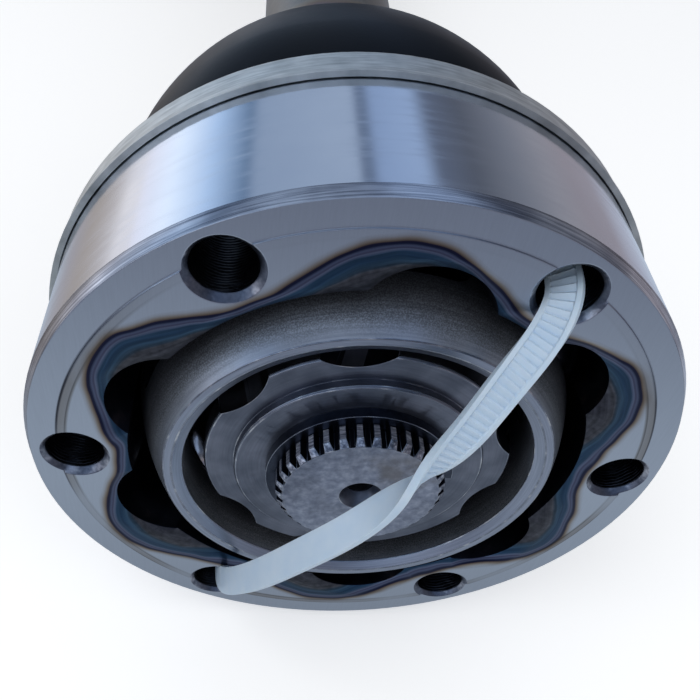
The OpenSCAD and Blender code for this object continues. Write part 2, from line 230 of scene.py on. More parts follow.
def ground_bearing_steel():
    """100Cr6 ring, cylindrically ground: mirror-bright, with very fine lines round it and soft smears."""
    material, tree = start("ground_bearing_steel")
    mm = in_mm(tree)
    lines = tool_lines(tree, mm, 0.22)
    rubbed = add(tree, "Mapping", {"Vector": mm, "Rotation": (0.5, 0.5, 0), "Scale": (0.08, 0.75, 0.08)})
    smears = add(tree, "TexNoise", {"Vector": rubbed, "Scale": 1, "Detail": 3})
    cloud = mottle(tree, mm, 9)
    colour = add(tree, "MixRGB", {0: cloud, 1: linear("#c9ced8"), 2: linear("#d9dce2")})
    dull = add(tree, "Math", {0: add(tree, "MapRange", {0: lines, "To Min": 0.07, "To Max": 0.15}),
                              1: add(tree, "MapRange", {0: smears, "From Min": 0.45, "From Max": 0.75,
                                                        "To Min": 0, "To Max": 0.12})}, operation="ADD")
    close(tree, {"Base Color": colour, "Metallic": 1, "Roughness": dull}, lines, 0.0012)
    return material


def turned_edge_steel():
    """The same ring's turned chamfers: open tool lines that scatter the light."""
    material, tree = start("turned_bearing_steel")
    mm = in_mm(tree)
    lines = tool_lines(tree, mm, 0.2, 5)
    patches = mottle(tree, mm, 14)
    colour = add(tree, "ValToRGB", {0: lines},
                 stops=[(0.3, "#8a8d96"), (0.5, "#b8bbc4"), (0.7, "#e6e8ee")])
    worn = add(tree, "MixRGB", {0: add(tree, "MapRange", {0: patches, "From Min": 0.35, "From Max": 0.6}),
                                1: linear("#a0a2ab"), 2: WHITE})
    close(tree, {"Base Color": add(tree, "MixRGB", {0: 1, 1: colour, 2: worn}, blend_type="MULTIPLY"),
                 "Metallic": 1,
                 "Roughness": add(tree, "MapRange", {0: lines, "To Min": 0.2, "To Max": 0.36})},
          lines, 0.004)
    return material


def heat_tinted_face():
    """The ground flange face. Induction hardening of the tracks left oxide colours round them: bare satin
    steel, straw, a violet-black line, lilac, blue, and at last grey-brown scale."""
    material, tree = start("heat_tinted_steel")
    mm = in_mm(tree)
    out, radius = from_axis(tree, mm)
    place = add(tree, "SeparateXYZ", {0: mm})
    angle = add(tree, "Math", {0: place.outputs["Z"], 1: place.outputs["X"]}, operation="ARCTAN2")
    wave = add(tree, "Math", {0: add(tree, "Math", {0: angle, 1: BOLT_COUNT}, operation="MULTIPLY")},
               operation="COSINE")
    outline = add(tree, "Math", {0: wave, 1: -TINT_WAVE, 2: TINT_R}, operation="MULTIPLY_ADD")
    waver = add(tree, "MapRange", {0: mottle(tree, mm, 8, 1), "To Min": -1.0, "To Max": 1.0})
    past_line = add(tree, "Math", {0: radius, 1: outline}, operation="SUBTRACT")
    edge = add(tree, "Math", {0: past_line, 1: waver}, operation="ADD")
    tints = ((-5.0, "#4a4a50"), (-3.9, "#525257"), (-3.5, "#3a4855"), (-2.9, "#3c5468"),
             (-2.3, "#2c4259"), (-1.6, "#32495f"), (-1.2, "#636a80"), (-1.0, "#494a5f"),
             (-0.7, "#565c73"), (-0.35, "#1e233a"), (-0.05, "#252337"), (0.15, "#6f6054"),
             (0.45, "#8e847b"), (0.9, "#a6a8ae"), (1.4, "#b2b8c2"))        # mm from the violet line
    tint = add(tree, "ValToRGB",
               {0: add(tree, "MapRange", {0: edge, "From Min": TINT_IN, "From Max": TINT_OUT})},
               stops=[((off - TINT_IN) / (TINT_OUT - TINT_IN), code) for off, code in tints])
    along = add(tree, "Math", {0: angle, 1: 1.5}, operation="MULTIPLY")
    stripes = add(tree, "TexNoise", {"Vector": add(tree, "CombineXYZ", {"X": edge, "Y": along}),
                                     "Scale": 2.2, "Detail": 4})
    banded = add(tree, "MapRange", {0: stripes, "From Min": 0.3, "From Max": 0.7,
                                    "To Min": 0.7, "To Max": 1.25})
    within = add(tree, "MapRange", {0: edge, "From Min": -0.9, "From Max": -1.5})
    blued = add(tree, "MixRGB", {0: within, 1: WHITE, 2: banded})
    crust = mottle(tree, mm, 1.1, 6)
    scaly = add(tree, "MapRange", {0: edge, "From Min": -3.0, "From Max": -3.8})
    grain = add(tree, "MapRange", {0: crust, "From Min": 0.3, "From Max": 0.7,
                                   "To Min": 0.62, "To Max": 1.2})
    scaled = add(tree, "MixRGB", {0: scaly, 1: WHITE, 2: grain})
    # the corner of the stepped rim: a dark line of painted shade at the corner, and inside it a rubbed
    # brown band; both come and go in patches and fade towards the top of the face
    off = add(tree, "Math", {0: radius, 1: STEP_R}, operation="SUBTRACT")
    line = add(tree, "ValToRGB", {0: add(tree, "MapRange", {0: off, "From Min": -1.6, "From Max": 0.6})},
               stops=[(0.0, "#ffffff"), (0.12, "#c8c2ba"), (0.2, "#98928c"), (0.26, "#d6cec6"),
                      (0.6, "#cfc6bc"), (0.68, "#6e6a6c"), (0.76, "#5a585c"), (0.84, "#ffffff")])
    patchy = add(tree, "MapRange", {0: mottle(tree, mm, 22, 1), "From Min": 0.4, "From Max": 0.55,
                                    "To Min": 0.35, "To Max": 1})
    high = add(tree, "SeparateXYZ", {0: out}).outputs["Z"]
    fades_towards_top = add(tree, "MapRange", {0: high, "From Min": 0.85, "From Max": 0.4,
                                      "To Min": 0.06, "To Max": 1})
    comes = add(tree, "Math", {0: patchy, 1: fades_towards_top}, operation="MULTIPLY")
    step = add(tree, "MixRGB", {0: comes, 1: WHITE, 2: line})
    brushed = add(tree, "Mapping", {"Vector": mm, "Rotation": (0, 0.7, 0), "Scale": (5, 1, 0.25)})
    marks = add(tree, "TexNoise", {"Vector": brushed, "Scale": 1, "Detail": 3})
    satin = add(tree, "MapRange", {0: marks, "From Min": 0.3, "From Max": 0.7,
                                   "To Min": 0.975, "To Max": 1.025})
    colour = tint
    for layer in (blued, scaled, step, satin):
        colour = add(tree, "MixRGB", {0: 1, 1: colour, 2: layer}, blend_type="MULTIPLY")
    relief = add(tree, "MixRGB", {0: scaly, 1: marks, 2: crust})
    close(tree, {"Base Color": colour, "Metallic": 1,
                 "Roughness": add(tree, "MapRange", {0: edge, "From Min": -4, "From Max": 0,
                                                     "To Min": 0.46, "To Max": 0.3})},
          relief, 0.005)
    return material


def shaded_greased_track_steel():
    """Hardened track, bore and tooth gaps under a film of grease: wet, with a few rusty smears. Their
    near-black colour is partly the grease and partly painted shade deep in the grooves.
    """
    material, tree = start("shaded_greased_track_steel")
    mm = in_mm(tree)
    patches = mottle(tree, mm, 5)
    colour = add(tree, "ValToRGB", {0: patches},
                 stops=[(0.4, "#0d111b"), (0.62, "#1a1c25"), (0.76, "#3a3236")])
    close(tree, {"Base Color": colour, "Metallic": 0.85,
                 "Roughness": add(tree, "MapRange", {0: patches, "To Min": 0.24, "To Max": 0.44})},
          patches, 0.05)
    return material


def drilled_steel():
    """Wall of a drilled hole: blue-black, with the drill's feed marks every 0.55 mm."""
    material, tree = start("drilled_steel")
    mm = in_mm(tree)
    skew = add(tree, "MapRange", {0: mottle(tree, mm, 3), "To Min": -0.5, "To Max": 0.5})
    wavy = add(tree, "Math", {0: behind_face(tree, mm), 1: skew}, operation="ADD")
    turns = add(tree, "Math", {0: wavy, 1: 2 * math.pi / 0.55}, operation="MULTIPLY")
    feed = add(tree, "Math", {0: turns}, operation="SINE")
    colour = add(tree, "MixRGB", {0: mottle(tree, mm, 2), 1: linear("#141924"), 2: linear("#4d4e54")})
    close(tree, {"Base Color": colour, "Metallic": 1, "Roughness": 0.34}, feed, 0.04)
    return material


def countersunk_steel():
    """Countersunk edge: rough from chatter, bright where it is fresh and dull elsewhere."""
    material, tree = start("countersunk_steel")
    mm = in_mm(tree)
    chatter = mottle(tree, mm, 0.5, 2)
    fresh = add(tree, "MapRange", {0: mottle(tree, mm, 4), "From Min": 0.5, "From Max": 0.66})
    dull = add(tree, "MixRGB", {0: chatter, 1: linear("#4a4e5a"), 2: linear("#777b88")})
    bright = add(tree, "MixRGB", {0: chatter, 1: linear("#85858f"), 2: linear("#dcdce2")})
    close(tree, {"Base Color": add(tree, "MixRGB", {0: fresh, 1: dull, 2: bright}), "Metallic": 1,
                 "Roughness": 0.34}, chatter, 0.03)
    return material


def edge_wear_and_highlight_steel():
    """Edges of hardened steel, rubbed bright here and there, and painted light grey all along as a painted
    highlight on the edges.
    """
    material, tree = start("worn_and_highlit_edge")
    mm = in_mm(tree)
    rubbed = mottle(tree, mm, 2.2, 2)
    colour = add(tree, "ValToRGB", {0: rubbed},
                 stops=[(0.35, "#7a7e88"), (0.55, "#8f929b"), (0.72, "#c6c4c4")])
    close(tree, {"Base Color": colour, "Metallic": 1, "Roughness": 0.26}, rubbed, 0.01)
    return material


def phosphated_steel():
    """Cage: manganese-phosphated steel. Its crystals give a dark sparkling grain, and handling has rubbed
    it smooth towards the rims, where fine turning lines show. Its colour darkens over about 13 mm behind
    the face: painted shade inside the ring, besides the rubbing near the rim."""
    material, tree = start("phosphated_steel")
    mm = in_mm(tree)
    crystals = mottle(tree, mm, 0.2, 2)         # real crystals are finer; drawn as coarse as they show
    cloud = mottle(tree, mm, 6)
    lines = tool_lines(tree, mm, 0.3, 2)
    uneven = add(tree, "Math", {0: cloud, 1: 4}, operation="MULTIPLY")
    from_rim = add(tree, "Math", {0: uneven, 1: behind_face(tree, mm)}, operation="ADD")
    # painted shade: the colour darkens with depth behind the face, deep inside the ring's bore
    dark = add(tree, "ValToRGB", {0: add(tree, "MapRange", {0: from_rim, "From Min": -1, "From Max": 13})},
               stops=[(0.0, "#9da3b0"), (0.22, "#82878f"), (0.45, "#666971"), (0.75, "#484b53"),
                      (1.0, "#383b43")])
    spark = add(tree, "MapRange", {0: crystals, "From Min": 0.4, "From Max": 0.66,
                                   "To Min": 0.68, "To Max": 1.42})
    shine = add(tree, "MapRange", {0: lines, "From Min": 0.3, "From Max": 0.7,
                                   "To Min": 0.8, "To Max": 1.18})
    rubbed = add(tree, "MapRange", {0: from_rim, "From Min": 2.5, "From Max": 0})
    faded = add(tree, "MixRGB", {0: rubbed, 1: spark, 2: WHITE})
    texture = add(tree, "MixRGB", {0: 1, 1: faded, 2: shine}, blend_type="MULTIPLY")
    close(tree, {"Base Color": add(tree, "MixRGB", {0: 1, 1: dark, 2: texture}, blend_type="MULTIPLY"),
                 "Metallic": 0.75,
                 "Roughness": add(tree, "MapRange", {0: rubbed, "To Min": 0.42, "To Max": 0.3})},
          add(tree, "MixRGB", {0: rubbed, 1: crystals, 2: lines}), 0.015)
    return material


def turned_rim_steel():
    """Turned rim of the cage: satin blue-grey."""
    material, tree = start("turned_cage_steel")
    mm = in_mm(tree)
    lines = tool_lines(tree, mm, 0.2, 3, on_face=True)
    colour = add(tree, "MixRGB", {0: lines, 1: linear("#767c8a"), 2: linear("#b4b9c6")})
    close(tree, {"Base Color": colour, "Metallic": 1, "Roughness": 0.32}, lines, 0.004)
    return material


def turned_race_steel():
    """Inner race: case-hardened, turned and oiled, dark satin grey with faint rings and finger marks."""
    material, tree = start("turned_race_steel")
    mm = in_mm(tree)
    lines = tool_lines(tree, mm, 0.3, 3, on_face=True)
    stain = mottle(tree, mm, 6)
    dark = add(tree, "ValToRGB", {0: stain},
               stops=[(0.35, "#5b5f6a"), (0.5, "#696d78"), (0.65, "#787b86")])
    shade = add(tree, "MapRange", {0: lines, "From Min": 0.25, "From Max": 0.75,
                                   "To Min": 0.86, "To Max": 1.12})
    close(tree, {"Base Color": add(tree, "MixRGB", {0: 1, 1: dark, 2: shade}, blend_type="MULTIPLY"),
                 "Metallic": 0.95,
                 "Roughness": add(tree, "MapRange", {0: stain, "To Min": 0.28, "To Max": 0.44})},
          lines, 0.005)
    return material


def sawn_shaft_steel():
    """Sawn end of the splined stub: mottled grey with one brown stain."""
    material, tree = start("sawn_shaft_steel")
    mm = in_mm(tree)
    fine = mottle(tree, mm, 1.0, 6)
    patches = mottle(tree, mm, 3.5, 2)
    grey = add(tree, "ValToRGB", {0: fine},
               stops=[(0.32, "#767b8a"), (0.5, "#8b909e"), (0.68, "#a2a6b3")])
    shade = add(tree, "MapRange", {0: patches, "From Min": 0.35, "From Max": 0.65,
                                   "To Min": 0.88, "To Max": 1.1})
    mixed = add(tree, "MixRGB", {0: 1, 1: grey, 2: shade}, blend_type="MULTIPLY")
    stain = add(tree, "VectorMath", {0: mm, 1: (6.0, 0, 6.5)}, operation="DISTANCE").outputs["Value"]
    frayed = add(tree, "MapRange", {0: patches, "To Min": -4, "To Max": 4})
    ragged = add(tree, "Math", {0: stain, 1: frayed}, operation="ADD")
    brown = add(tree, "MapRange", {0: ragged, "From Min": 8.5, "From Max": 5.5,
                                   "To Min": 0, "To Max": 0.55})
    colour = add(tree, "MixRGB", {0: brown, 1: mixed, 2: linear("#6f6862")})
    close(tree, {"Base Color": colour, "Metallic": 0.9,
                 "Roughness": add(tree, "MapRange", {0: fine, "To Min": 0.34, "To Max": 0.5})},
          fine, 0.02)
    return material


def rolled_tooth_steel():
    """Tops of the rolled teeth: grey, with fine marks across them."""
    material, tree = start("rolled_tooth_steel")
    mm = in_mm(tree)
    lines = tool_lines(tree, mm, 0.3, 8)
    colour = add(tree, "ValToRGB", {0: lines},
                 stops=[(0.35, "#6d7180"), (0.52, "#a6aab8"), (0.7, "#dde0ea")])
    close(tree, {"Base Color": colour, "Metallic": 0.8, "Roughness": 0.42}, lines, 0.01)
    return material


def cut_tooth_steel():
    """Chamfers cut on the ends of the teeth: bright and nearly clean."""
    material, tree = start("cut_tooth_steel")
    mm = in_mm(tree)
    fine = mottle(tree, mm, 0.5, 4)
    colour = add(tree, "ValToRGB", {0: fine},
                 stops=[(0.35, "#5e616d"), (0.52, "#8b8e9a"), (0.68, "#cfd0d8")])
    close(tree, {"Base Color": colour, "Metallic": 1, "Roughness": 0.36}, fine, 0.04)
    return material


def spring_steel():
    """Circlip and dished washer: oiled dark spring steel with bright edges."""
    material, tree = start("oiled_spring_steel")
    mm = in_mm(tree)
    fine = mottle(tree, mm, 1.2)
    colour = add(tree, "MixRGB", {0: fine, 1: linear("#20242f"), 2: linear("#4a4f5b")})
    close(tree, {"Base Color": colour, "Metallic": 1, "Roughness": 0.3}, fine, 0.01)
    return material


def zinc_plated_sheet():
    """Cover: zinc-plated pressed steel, streaky silver with a greenish tint and dull patches."""
    material, tree = start("zinc_plated_steel")
    mm = in_mm(tree)
    drawn = tool_lines(tree, mm, 0.5, 9)
    cloud = mottle(tree, mm, 3, 5)
    light = add(tree, "MixRGB", {0: cloud, 1: linear("#adb1ae"), 2: linear("#ecebe6")})
    shade = add(tree, "MapRange", {0: drawn, "From Min": 0.3, "From Max": 0.7,
                                   "To Min": 0.72, "To Max": 1.12})
    close(tree, {"Base Color": add(tree, "MixRGB", {0: 1, 1: light, 2: shade}, blend_type="MULTIPLY"),
                 "Metallic": 0.95,
                 "Roughness": add(tree, "MapRange", {0: cloud, "To Min": 0.4, "To Max": 0.56})},
          drawn, 0.02)
    return material


def moulded_rubber():
    """Boot: thermoplastic elastomer, satin black with a faint bluish sheen and dust."""
    material, tree = start("moulded_elastomer")
    mm = in_mm(tree)
    dust = mottle(tree, mm, 8, 6)
    fine = mottle(tree, mm, 0.5, 2)
    colour = add(tree, "ValToRGB", {0: dust},
                 stops=[(0.35, "#03060c"), (0.65, "#060910"), (0.8, "#0e1118")])
    close(tree, {"Base Color": colour, "IOR": 1.5, "Specular IOR Level": 0.18,
                 "Roughness": add(tree, "MapRange", {0: dust, "To Min": 0.36, "To Max": 0.5})},
          fine, 0.012)
    return material


def stainless_band():
    """Boot clamp: cold-rolled stainless strip, bright with fine lengthwise lines."""
    material, tree = start("stainless_strip")
    mm = in_mm(tree)
    lines = tool_lines(tree, mm, 0.12, 1.5)
    colour = add(tree, "MixRGB", {0: lines, 1: linear("#a9adb2"), 2: linear("#dfe1e4")})
    close(tree, {"Base Color": colour, "Metallic": 1, "Roughness": 0.24}, lines, 0.003)
    return material


def drawn_tube_steel():
    """Tube and shank: drawn and lightly oxidised, grey-brown, with blue and straw colours by the weld."""
    material, tree = start("drawn_tube_steel")
    mm = in_mm(tree)
    fine = mottle(tree, mm, 1.4, 6)
    cloud = mottle(tree, mm, 12, 4)
    base = add(tree, "MixRGB", {0: cloud, 1: linear("#6a655f"), 2: linear("#8b8882")})
    shade = add(tree, "MapRange", {0: fine, "To Min": 0.6, "To Max": 1.35})
    grainy = add(tree, "MixRGB", {0: 1, 1: base, 2: shade}, blend_type="MULTIPLY")
    past_weld = add(tree, "Math", {0: behind_face(tree, mm), 1: WELD_AT}, operation="SUBTRACT")
    off = add(tree, "Math", {0: past_weld}, operation="ABSOLUTE")
    waver = add(tree, "MapRange", {0: mottle(tree, mm, 7), "To Min": -1.5, "To Max": 1.5})
    wavy = add(tree, "Math", {0: off, 1: waver}, operation="ADD")
    tint = add(tree, "ValToRGB", {0: add(tree, "Math", {0: wavy, 1: WELD_TINT}, operation="DIVIDE")},
               stops=[(0.0, "#4b4d56"), (0.3, "#4a5a72"), (0.5, "#5c5470"), (0.68, "#86694f"),
                      (0.85, "#a08a68"), (1.0, "#9a958c")])
    near_weld = add(tree, "MapRange", {0: wavy, "From Min": 8, "From Max": WELD_TINT,
                                       "To Min": 0.75, "To Max": 0})
    close(tree, {"Base Color": add(tree, "MixRGB", {0: near_weld, 1: grainy, 2: tint}), "Metallic": 0.85,
                 "Roughness": add(tree, "MapRange", {0: fine, "To Min": 0.38, "To Max": 0.56})},
          fine, 0.05)
    return material


def polished_ball_steel():
    """Bearing ball: lapped chrome steel with smears of grease."""
    material, tree = start("lapped_ball_steel")
    mm = in_mm(tree)
    smear = mottle(tree, mm, 3)
    colour = add(tree, "MixRGB", {0: smear, 1: linear("#8f8a8c"), 2: linear("#d8d6d8")})
    close(tree, {"Base Color": colour, "Metallic": 1,
                 "Roughness": add(tree, "MapRange", {0: smear, "To Min": 0.06, "To Max": 0.2})})
    return material


def natural_nylon():
    """Tie: natural polyamide 6.6, milky and slightly see-through, with a soft gloss."""
    material, tree = start("natural_polyamide")
    mm = in_mm(tree)
    cloud = mottle(tree, mm, 4)
    close(tree, {"Base Color": add(tree, "MixRGB", {0: cloud, 1: linear("#bcd6f0"), 2: linear("#dceaf8")}),
                 "IOR": 1.53, "Subsurface Weight": 0.35, "Subsurface Radius": (0.9, 1.0, 1.0),
                 "Subsurface Scale": TIE_T * MM, "Transmission Weight": 0.08, "Roughness": 0.3},
          cloud, 0.02)
    return material


def only(obj):
    """Makes obj the one selected and active object."""
    bpy.ops.object.select_all(action="DESELECT")
    obj.select_set(True)
    bpy.context.view_layer.objects.active = obj


def apply_modifier(obj, kind, **settings):
    """Adds a modifier and applies it."""
    only(obj)
    modifier = obj.modifiers.new(kind.lower(), kind)
    for key, value in settings.items():
        setattr(modifier, key, value)
    bpy.ops.object.modifier_apply(modifier=modifier.name)


def soften(obj, width, edge=-1):
    """Small rounded edges, smooth round walls and flat faces that stay flat. The rounded edges take the
    finish whose number is edge."""
    if width:
        apply_modifier(obj, "BEVEL", width=width * MM, segments=2, limit_method="ANGLE", material=edge,
                       angle_limit=math.radians(28), use_clamp_overlap=False)
    only(obj)
    bpy.ops.object.shade_smooth_by_angle(angle=math.radians(40))
    apply_modifier(obj, "WEIGHTED_NORMAL", keep_sharp=True)


def dress(node, name, width, finishes, zone=None, edge=None, reshape=None):
    """A copy of a CAD node's mesh as one closed skin with softened edges. It stands for the node. Each
    face takes one of the finishes by its zone, and the softened edges take the finish edge."""
    source = frame["nodes"][node]
    obj = bpy.data.objects.new(name, source.data.copy())
    bpy.context.scene.collection.objects.link(obj)
    only(obj)
    bpy.ops.mesh.customdata_custom_splitnormals_clear()
    bpy.ops.object.mode_set(mode="EDIT")
    bpy.ops.mesh.select_all(action="SELECT")
    bpy.ops.mesh.remove_doubles(threshold=0.002 * MM)
    bpy.ops.mesh.dissolve_limited(angle_limit=math.radians(0.3))
    bpy.ops.object.mode_set(mode="OBJECT")
    if reshape:
        reshape(obj)
    paint(obj, finishes + [edge] if edge else finishes, zone)
    soften(obj, width, len(finishes) if edge else -1)
    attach(obj, source["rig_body"])
    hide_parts(node)


def paint(obj, finishes, zone=None):
    """Gives each face one of the finishes. A zone tells which by the face's place, its depth behind its
    flange face, and its direction: outwards along the shaft, and away from the axis."""
    obj.data.materials.clear()
    for finish in finishes:
        obj.data.materials.append(finish)
    for face in obj.data.polygons:
        x, y, z = (v / MM for v in face.center)
        outward = face.normal.y if y > HALF else -face.normal.y
        away = (face.normal.x * x + face.normal.z * z) / max(math.hypot(x, z), 0.1)
        face.material_index = zone(x, z, HALF - abs(y - HALF), outward, away) if zone else 0


def ring_zone(x, z, depth, outward, away):
    """Outer ring: ground outside, turned edges and back, tinted face, drilled and countersunk bolt holes,
    and tracks and bore under grease, painted near black as painted shade."""
    radius = math.hypot(x, z)
    sector = 2 * math.pi / BOLT_COUNT
    turn = round(math.atan2(z, x) / sector) * sector
    from_hole = math.hypot(x - BOLT_CIRCLE_R * math.cos(turn), z - BOLT_CIRCLE_R * math.sin(turn))
    if outward > 0.95 and depth < 0.6:
        return TINTED
    if outward < -0.9:
        return TURNED
    if from_hole < BOLT_HOLE_R + 1.3:
        return SUNK if depth < CHAMFER and outward > 0.25 else DRILLED
    if radius > RING_R - CHAMFER and (depth < 2 and outward > 0.1 or depth > RING_W - 1):
        return TURNED
    if radius > STEP_R - 0.5:
        return GROUND if depth > 0.4 else TINTED
    return TINTED if depth < 1.6 and outward > 0.15 else SHADED_GREASED


def cage_zone(x, z, depth, outward, away):
    """Cage: phosphated skin and windows, turned rim and slope."""
    return RIM if abs(outward) > 0.7 else SKIN


def race_zone(x, z, depth, outward, away):
    """Race: turned faces, and tracks under grease, painted near black as painted shade."""
    return TRACK if abs(outward) < 0.5 and math.hypot(x, z) > HUB_R + 0.9 and away < 0.97 else FACE


def stub_zone(x, z, depth, outward, away):
    """Stub: sawn end with a centre hole, teeth with cut chamfers, gaps between the teeth under grease and
    painted near black as painted shade, and the shank.
    """
    radius = math.hypot(x, z)
    if depth > SPLINE_END:
        return TUBE
    if radius < CENTRE_HOLE_R and outward < 0.95:
        return HOLE
    if outward > 0.9:
        return SAWN
    if outward > 0.4 and away > 0.4:
        return CUT
    return TOOTH if away > 0.9 and radius > SPLINE_R - 0.3 else GAP


def tuck_lip(cover):
    """Presses the flare of the cover's lip in, until it leaves a hairline round the ring."""
    lip_end = RING_W - LIP_L
    for corner in cover.data.vertices:
        depth = HALF - abs(corner.co.y / MM - HALF)
        corner.select = depth < lip_end + 0.2
    only(cover)
    bpy.ops.object.mode_set(mode="EDIT")
    closer = (RING_R + LIP_GAP) / (RING_R + LIP_GAP + LIP_FLARE)
    bpy.ops.transform.resize(value=(closer, 1, closer), center_override=(0, 0, 0))
    bpy.ops.object.mode_set(mode="OBJECT")


def beside(points, step):
    """The outline moved sideways by step, to its left."""
    moved = []
    for k, (r, y) in enumerate(points):
        (r0, y0), (r1, y1) = points[max(k - 1, 0)], points[min(k + 1, len(points) - 1)]
        size = math.hypot(r1 - r0, y1 - y0)
        moved.append((r - (y1 - y0) / size * step, y + (r1 - r0) / size * step))
    return moved


def quarter(steps, first=1):
    """Angles of a quarter turn in equal steps."""
    return [math.radians(90 * k / steps) for k in range(first, steps + 1)]


def boot_outline():
    """The boot's wall as radius and depth: bead in the collar, crown, shoulder, neck with two beads, and
    lining."""
    end_r = NECK_R + NECK_FILLET
    crown = [(BOOT_BASE_R + (CROWN_R - BOOT_BASE_R) * math.sin(a),
              CROWN_AT - (CROWN_AT - BOOT_BASE_AT) * math.cos(a)) for a in quarter(16, first=0)]
    power = 2 / SHOULDER_POWER
    shoulder = [(end_r + (CROWN_R - end_r) * math.cos(a) ** power,
                 CROWN_AT + (SHOULDER_AT - CROWN_AT) * math.sin(a) ** power) for a in quarter(32)]
    fillet = [(end_r - NECK_FILLET * math.sin(a), SHOULDER_AT + NECK_FILLET * (1 - math.cos(a)))
              for a in quarter(5)]
    skin = crown + shoulder + fillet
    lining = beside(skin, BOOT_T)
    top = NECK_R + BEAD_H
    neck = [(NECK_R, CLAMP_FROM - BEAD_W), (top, CLAMP_FROM - BEAD_TOP_W), (top, CLAMP_FROM),
            (NECK_R, CLAMP_FROM), (NECK_R, CLAMP_TO), (top, CLAMP_TO), (top, CLAMP_TO + BEAD_TOP_W),
            (NECK_R, CLAMP_TO + BEAD_W), (NECK_R, NECK_END), (NECK_R - BOOT_T, NECK_END)]
    foot = [(BOOT_BASE_R - BOOT_T, BOOT_BASE_AT), (BOOT_BASE_R - BOOT_T, BOOT_BEAD_TOP - BOOT_BEAD_SLOPE),
            (BOOT_BEAD_R - BOOT_FOOT_T, BOOT_FOOT_AT), (BOOT_BEAD_R, BOOT_FOOT_AT),
            (BOOT_BEAD_R, BOOT_BEAD_TOP), (BOOT_BASE_R, BOOT_BEAD_TOP)]
    return foot + skin + neck + lining[::-1]


def turned(name, outline):
    """A closed ring about the shaft: a circle that is extruded and resized along the outline."""
    radius, y = outline[0]
    bpy.ops.object.select_all(action="DESELECT")
    bpy.ops.mesh.primitive_circle_add(vertices=128, radius=radius * MM, location=(0, y * MM, 0),
                                      rotation=(math.pi / 2, 0, 0))
    obj = bpy.context.object
    obj.name = name
    bpy.ops.object.transform_apply(location=True, rotation=True, scale=True)
    bpy.ops.object.mode_set(mode="EDIT")
    bpy.ops.mesh.select_all(action="SELECT")
    for next_radius, next_y in outline[1:] + outline[:1]:
        bpy.ops.mesh.extrude_region_move(TRANSFORM_OT_translate={"value": (0, (next_y - y) * MM, 0)})
        wider = next_radius / radius
        bpy.ops.transform.resize(value=(wider, 1, wider), center_override=(0, next_y * MM, 0))
        radius, y = next_radius, next_y
    bpy.ops.mesh.select_all(action="SELECT")
    bpy.ops.mesh.remove_doubles(threshold=0.001 * MM)
    bpy.ops.mesh.normals_make_consistent(inside=False)
    bpy.ops.object.mode_set(mode="OBJECT")
    return obj


def boot(side, rubber):
    """The rubber boot between flange and shaft, turned from its outline in place of the CAD boot."""
    outline = boot_outline()
    if side == "far":
        outline = [(r, SPAN - y) for r, y in outline]
    obj = turned(f"moulded_boot_{side}", outline)
    paint(obj, [rubber])
    soften(obj, 0)
    if side == "near":
        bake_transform(obj)
    else:
        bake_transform(obj)
    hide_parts(f"{side}_boot")


def tie_route():
    """Points of the tie's centre line, from its head on the collar, through the lower bolt hole, across
    the joint, through the upper hole and back to the head."""
    out = Vector((math.cos(math.radians(TIE_ANGLE)), 0, math.sin(math.radians(TIE_ANGLE))))
    side = Vector((-out.z, 0, out.x))
    hole = BOLT_CIRCLE_R

    def collar(angle, radius=COLLAR_R + COLLAR_GAP + TIE_T / 2, depth=COLLAR_TIE_AT):
        turn = math.radians(angle)
        return Vector((radius * math.cos(turn), depth, radius * math.sin(turn)))

    def front(along, height, bulge=0):
        return out * along + side * bulge + Vector((0, -height, 0))

    round_collar = [collar(-36), collar(-52), collar(-68), collar(-84), collar(-98, 37.6),
                    collar(-109, 39.8, 38.2), collar(-116, 41.8, 36.6), collar(-119, 42.8, 33.8)]
    lower_hole = [front(-hole, -29), front(-hole, -20), front(-hole, -10), front(-hole, -3.5)]
    across = [front(-42, -0.2), front(-34.8, 4.7, 1.8), front(-21, 10.6, 4.6), front(-9, 13.1, 5.2),
              front(1.2, 13.7, 3.6), front(9, 12.8, 2.5), front(14.6, 12.5, 2.2), front(19, 11.8, 2.2),
              front(24.8, 10.6, 2), front(30.7, 8.2, 2), front(35.1, 5.3, 0.9), front(38.8, 2.7),
              front(42.2, -0.2)]
    upper_hole = [front(43.2, -4), front(hole, -12), front(hole, -20), front(hole, -29)]
    back = [collar(59, 42.8, 33.8), collar(56, 41.8, 36.6), collar(49, 39.8, 38.2), collar(38, 37.6),
            collar(24), collar(8), collar(-8), collar(-22, 37.4), collar(-34, 38.6), collar(-45, 40)]
    return round_collar + lower_hole + across + upper_hole + back


def turned_over(k):
    """How far the tie has turned over at point k of its route, in degrees."""
    for (k0, turn0), (k1, turn1) in zip(TIE_TURNS, TIE_TURNS[1:]):
        if k <= k1:
            return turn0 + (turn1 - turn0) * max(k - k0, 0) / (k1 - k0)
    return TIE_TURNS[-1][1]


